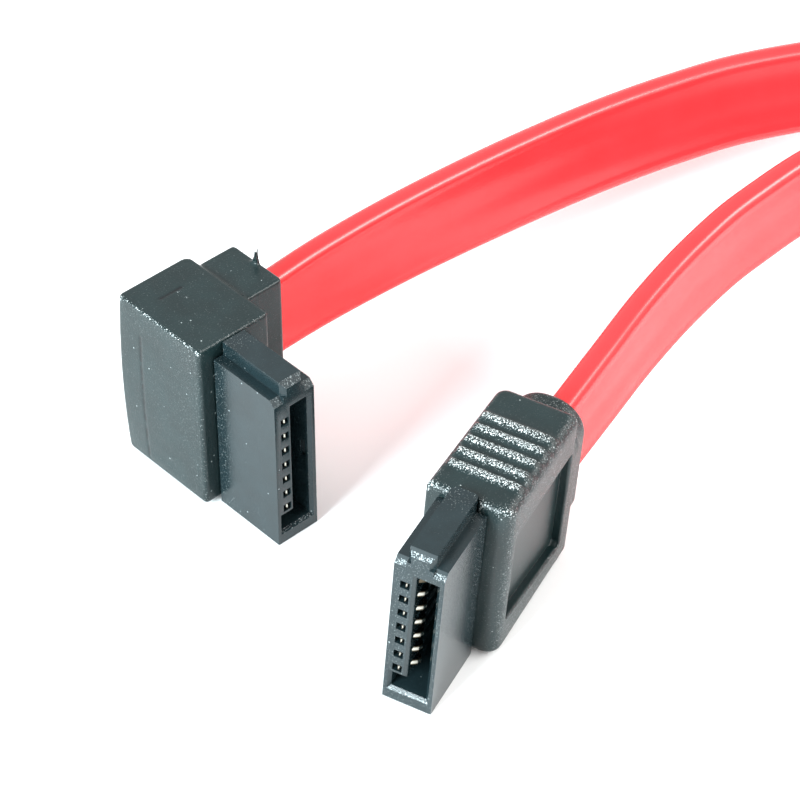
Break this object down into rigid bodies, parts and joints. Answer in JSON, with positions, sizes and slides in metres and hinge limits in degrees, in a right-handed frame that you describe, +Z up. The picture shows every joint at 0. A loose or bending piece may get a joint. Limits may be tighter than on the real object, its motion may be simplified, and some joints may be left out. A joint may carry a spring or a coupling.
{
  "type": "sata data cable",
  "caption": "Flat red SATA data cable on edge, with a straight ribbed plug on one end and a right-angled plug on the other, both black.",
  "frame": {"origin": "middle of the two plugs' outer box, on the surface they stand on; the free cable is left out of that box", "axes": "+Z up, +Y away from the picture's viewer, +X to the viewer's right, where the cable's loop lies"},
  "size_m": [0.1113, 0.1051, 0.015],
  "materials": {
    "overmold_black": "moulded, fine grain",
    "shell_black": "smooth satin",
    "contact_metal": "plated",
    "cable_red": "soft PVC, satin"
  },
  "bodies": {
    "root": {"angled_housing": "shell_black", "angled_overmold": "overmold_black", "angled_contact_1": "contact_metal", "angled_contact_2": "contact_metal", "angled_contact_3": "contact_metal", "angled_contact_4": "contact_metal", "angled_contact_5": "contact_metal", "angled_contact_6": "contact_metal", "angled_contact_7": "contact_metal", "straight_housing": "shell_black", "straight_overmold": "overmold_black", "straight_contact_1": "contact_metal", "straight_contact_2": "contact_metal", "straight_contact_3": "contact_metal", "straight_contact_4": "contact_metal", "straight_contact_5": "contact_metal", "straight_contact_6": "contact_metal", "straight_contact_7": "contact_metal", "cable": "cable_red"}
  },
  "joints": []
}
